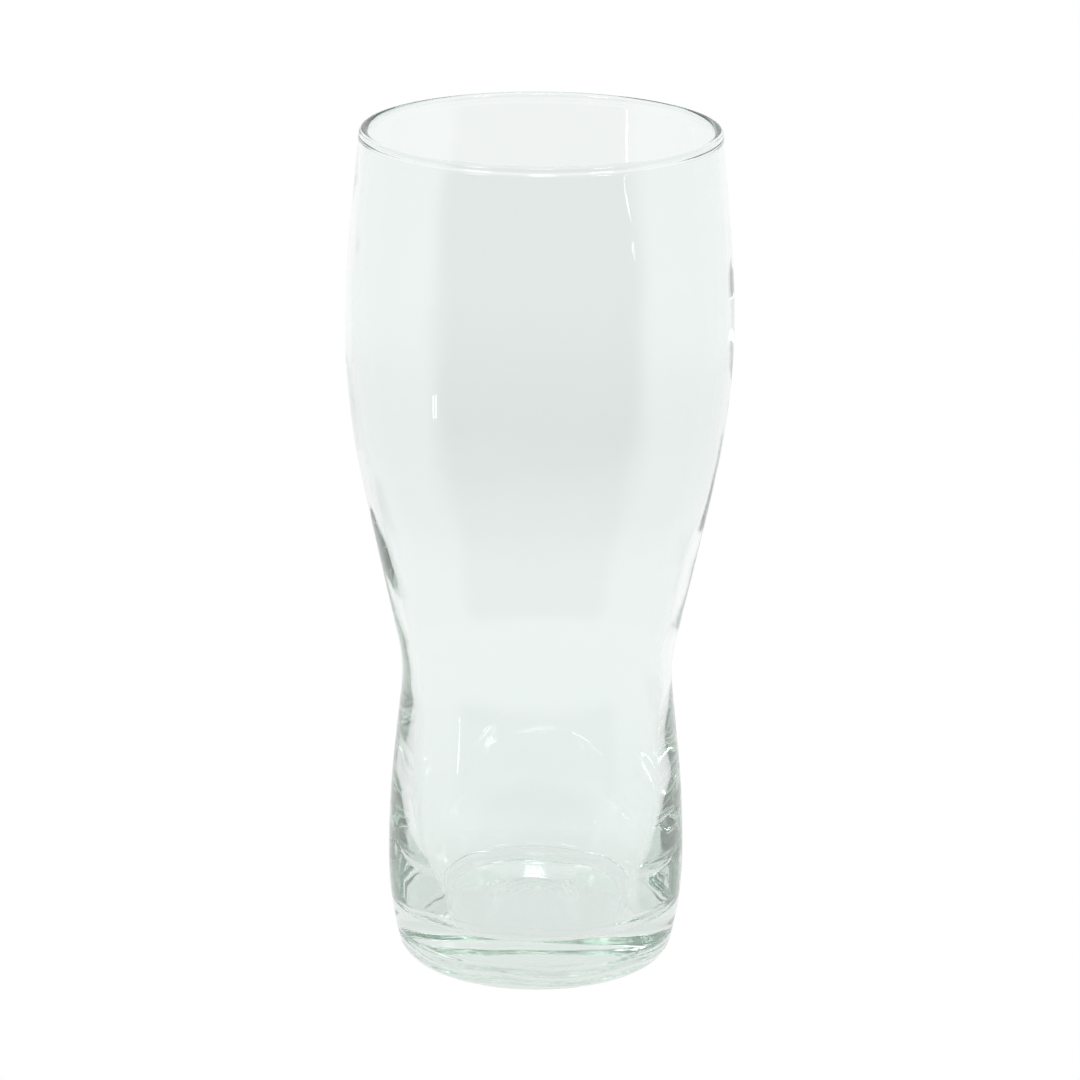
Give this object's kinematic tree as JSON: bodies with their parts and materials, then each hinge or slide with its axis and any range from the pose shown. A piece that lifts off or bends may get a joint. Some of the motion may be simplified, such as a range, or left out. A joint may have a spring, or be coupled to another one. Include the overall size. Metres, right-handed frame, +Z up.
{
  "type": "pint glass",
  "caption": "Stemless tulip pint glass with a rounded lip, a wide belly, a narrow waist and a thick, hollowed base.",
  "frame": {"origin": "centre of the footprint, on the surface the glass stands on", "axes": "+Z up through the middle of the glass, towards the lip; the glass is round, so X and Y are any two level directions"},
  "size_m": [0.0803, 0.0802, 0.178],
  "materials": {
    "glass": "clear soda-lime glass with a faint green cast, fire-polished, smooth inside and out"
  },
  "bodies": {
    "root": {"glass": "glass"}
  },
  "joints": []
}
